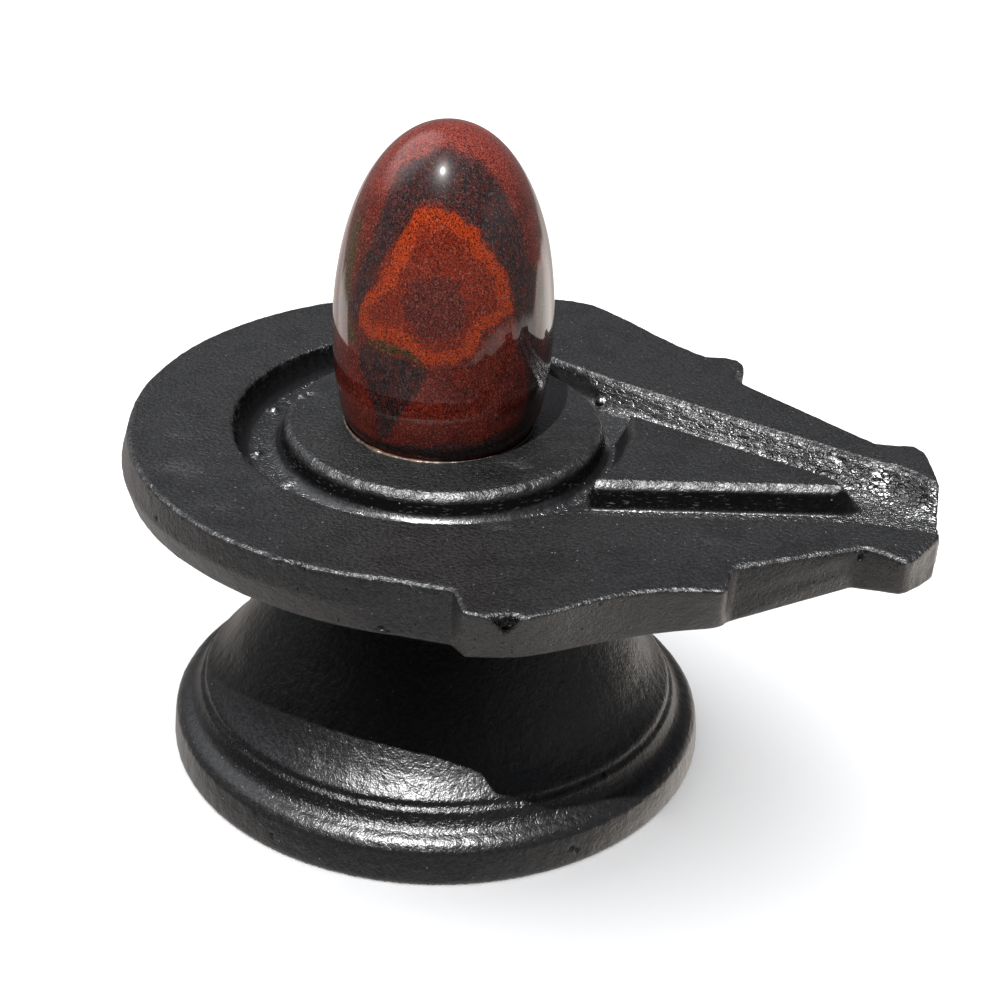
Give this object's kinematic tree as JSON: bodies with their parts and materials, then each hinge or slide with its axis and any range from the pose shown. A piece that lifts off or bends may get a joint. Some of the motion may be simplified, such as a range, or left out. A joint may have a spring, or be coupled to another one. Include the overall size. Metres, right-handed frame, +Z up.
{
  "type": "shiva lingam stone on a yoni base",
  "caption": "Polished egg-shaped jasper stone glued upright on the boss of a black cast-stone dish with a ring groove and spout, on a waisted round foot.",
  "frame": {"origin": "centre of the foot's flat underside", "axes": "+Z up, +X along the spout, +Y to the left of a viewer who looks along the spout"},
  "size_m": [0.183, 0.1503, 0.1496],
  "materials": {
    "cast_stone": "black, satin, with fine casting wrinkle",
    "jasper": "polished, glossy, red with dark grey bands",
    "adhesive": "tan, dull"
  },
  "bodies": {
    "root": {"yoni_base": "cast_stone", "lingam_stone": "jasper", "adhesive_bead": "adhesive"}
  },
  "joints": []
}
